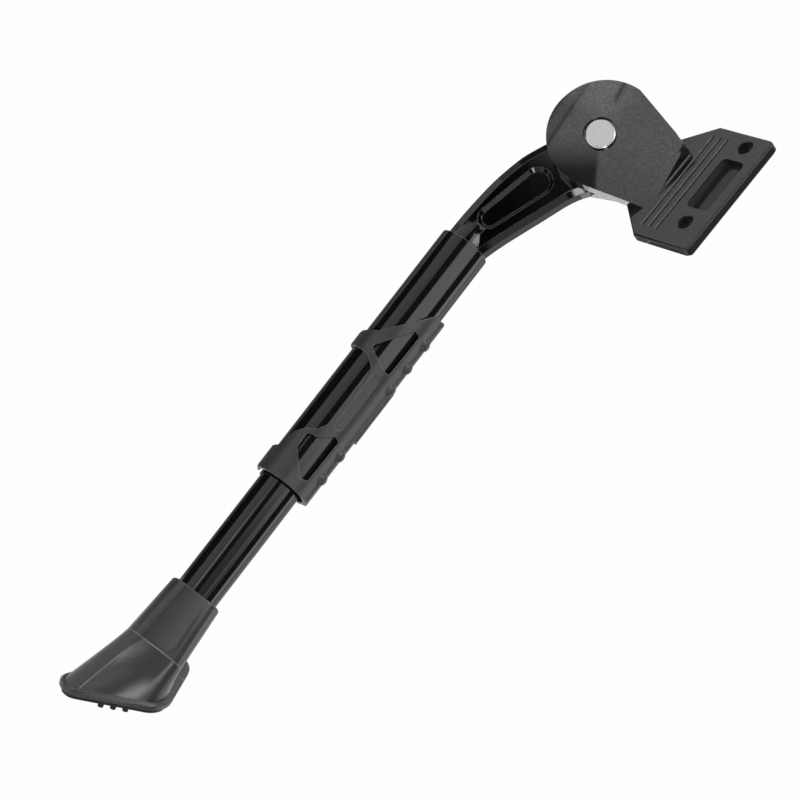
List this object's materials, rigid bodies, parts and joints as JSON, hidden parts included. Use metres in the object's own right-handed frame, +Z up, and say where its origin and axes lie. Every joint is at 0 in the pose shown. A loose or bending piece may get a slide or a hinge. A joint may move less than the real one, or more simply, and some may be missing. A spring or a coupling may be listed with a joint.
{
  "type": "bicycle kickstand",
  "caption": "Side-mount bicycle kickstand: bolt-on bracket with a slanted pivot housing, swinging neck, telescopic tube leg with length clip, and a flared foot with studded sole.",
  "frame": {"origin": "mid-way between the two bolt holes, on the back face of the mounting plate", "axes": "+X runs back along the stowed leg, +Y points from the plate to the cycle frame, +Z is up"},
  "size_m": [0.3355, 0.0626, 0.122],
  "materials": {
    "bracket_paint": "satin",
    "neck_paint": "gloss",
    "tube_paint": "gloss",
    "rivet_steel": "satin",
    "inner_steel": "satin",
    "washer_plastic": "matte",
    "clip_plastic": "matte",
    "foot_plastic": "satin",
    "sole_rubber": "matte"
  },
  "bodies": {
    "bracket": {"mount_bracket": "bracket_paint", "pivot_rivet": "rivet_steel", "rivet_washer": "inner_steel", "pivot_bush": "inner_steel", "thrust_washer_front": "washer_plastic", "thrust_washer_rear": "washer_plastic"},
    "leg": {"leg_neck": "neck_paint", "outer_tube": "tube_paint", "length_clip": "clip_plastic", "detent_spring": "inner_steel"},
    "extension": {"inner_tube": "tube_paint", "foot_shoe": "foot_plastic", "foot_sole": "sole_rubber"},
    "plunger": {"detent_plunger": "inner_steel"}
  },
  "joints": [
    {"name": "leg_fold", "type": "hinge", "parent": "bracket", "child": "leg", "pos_m": [0.0045, -0.0264, -0.0499], "axis": [-0.1736, 0.8067, -0.5649], "range_deg": [0, 90]},
    {"name": "leg_length", "type": "slide", "parent": "leg", "child": "extension", "axis": [0.9985, 0.0536, -0.012], "range_m": [-0.0456, 0.0228]},
    {"name": "detent_travel", "type": "slide", "parent": "leg", "child": "plunger", "axis": [-0.9377, 0.0399, 0.3452], "range_m": [0, 0.0011], "stiffness_N_per_m": 1500, "springref_m": 0.0011, "deforming": ["detent_spring"]}
  ]
}
